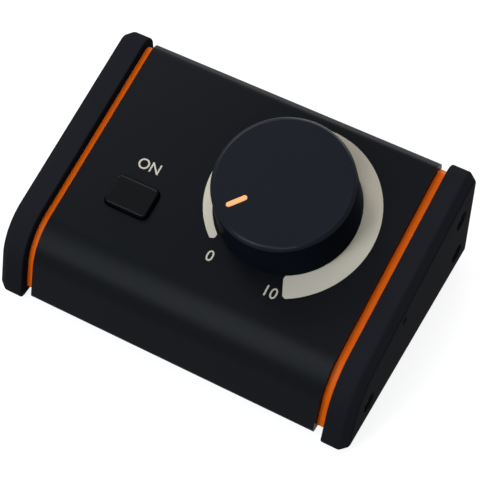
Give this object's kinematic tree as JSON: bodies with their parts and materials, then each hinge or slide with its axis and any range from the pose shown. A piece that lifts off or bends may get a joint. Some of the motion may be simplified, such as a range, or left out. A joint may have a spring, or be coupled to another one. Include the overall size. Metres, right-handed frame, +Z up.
{
  "type": "studio monitor controller",
  "caption": "Desktop studio monitor controller: wedge-shaped case between end cheeks, with a large volume knob and a mono push button on its sloping top, and jack sockets at the back.",
  "frame": {"origin": "on the table, under the middle of the box round the whole object", "axes": "+X to the right as the user faces the controls, +Y to the back with the sockets, +Z up"},
  "size_m": [0.1284, 0.0916, 0.0605],
  "materials": {
    "coated_steel": "black satin powder coat",
    "orange_plate": "satin orange",
    "cheek_plastic": "fine moulded texture, black",
    "black_screw": "black oxide",
    "foot_rubber": "matt black",
    "knob_satin": "satin black",
    "pointer_paint": "pale orange fill",
    "plain_steel": "nickel plate",
    "button_plastic": "satin black",
    "black_plastic": "matt black",
    "board_green": "green solder mask",
    "brass": "plain turned",
    "ribbon_grey": "grey flexible insulation",
    "print_ink": "warm grey screen ink"
  },
  "bodies": {
    "case": {"top_shell": "coated_steel", "base_tray": "coated_steel", "trim_right": "orange_plate", "trim_left": "orange_plate", "cheek_right": "cheek_plastic", "cheek_left": "cheek_plastic", "cheek_screw_right_1": "black_screw", "cheek_screw_right_2": "black_screw", "cheek_screw_right_3": "black_screw", "cheek_screw_left_1": "black_screw", "cheek_screw_left_2": "black_screw", "cheek_screw_left_3": "black_screw", "base_screw_1": "black_screw", "base_screw_2": "black_screw", "base_screw_3": "black_screw", "base_screw_4": "black_screw", "foot_front_left": "foot_rubber", "foot_front_right": "foot_rubber", "foot_rear_left": "foot_rubber", "foot_rear_right": "foot_rubber", "pot_housing": "plain_steel", "pot_washer": "plain_steel", "pot_nut": "plain_steel", "switch_spring": "plain_steel", "control_board_screw_1": "plain_steel", "control_board_screw_2": "plain_steel", "jack_board_screw_1": "plain_steel", "jack_board_screw_2": "plain_steel", "jack_board_screw_3": "plain_steel", "jack_board_screw_4": "plain_steel", "jack_nut_output_left": "plain_steel", "jack_nut_output_right": "plain_steel", "jack_nut_input_left": "plain_steel", "jack_nut_input_right": "plain_steel", "mini_jack_nut": "plain_steel", "switch_housing": "black_plastic", "ribbon_plug_upper": "black_plastic", "ribbon_plug_lower": "black_plastic", "jack_output_left": "black_plastic", "jack_output_right": "black_plastic", "jack_input_left": "black_plastic", "jack_input_right": "black_plastic", "mini_jack": "black_plastic", "control_board": "board_green", "jack_board": "board_green", "board_standoff_1": "brass", "board_standoff_2": "brass", "board_standoff_3": "brass", "board_standoff_4": "brass", "ribbon_cable": "ribbon_grey"},
    "volume": {"volume_knob": "knob_satin", "knob_pointer": "pointer_paint", "knob_grub_screw": "black_screw", "pot_shaft": "plain_steel"},
    "mono": {"mono_button": "button_plastic", "switch_stem": "button_plastic"}
  },
  "joints": [
    {"name": "volume_turn", "type": "hinge", "parent": "case", "child": "volume", "pos_m": [0.016, 0.00662, 0.03735], "axis": [0, 0.2317, -0.9728], "range_deg": [-10.5, 289.5]},
    {"name": "mono_press", "type": "slide", "parent": "case", "child": "mono", "axis": [0, 0.2317, -0.9728], "range_m": [0, 0.0018], "stiffness_N_per_m": 600, "springref_m": -0.0008, "deforming": ["switch_spring"]}
  ]
}
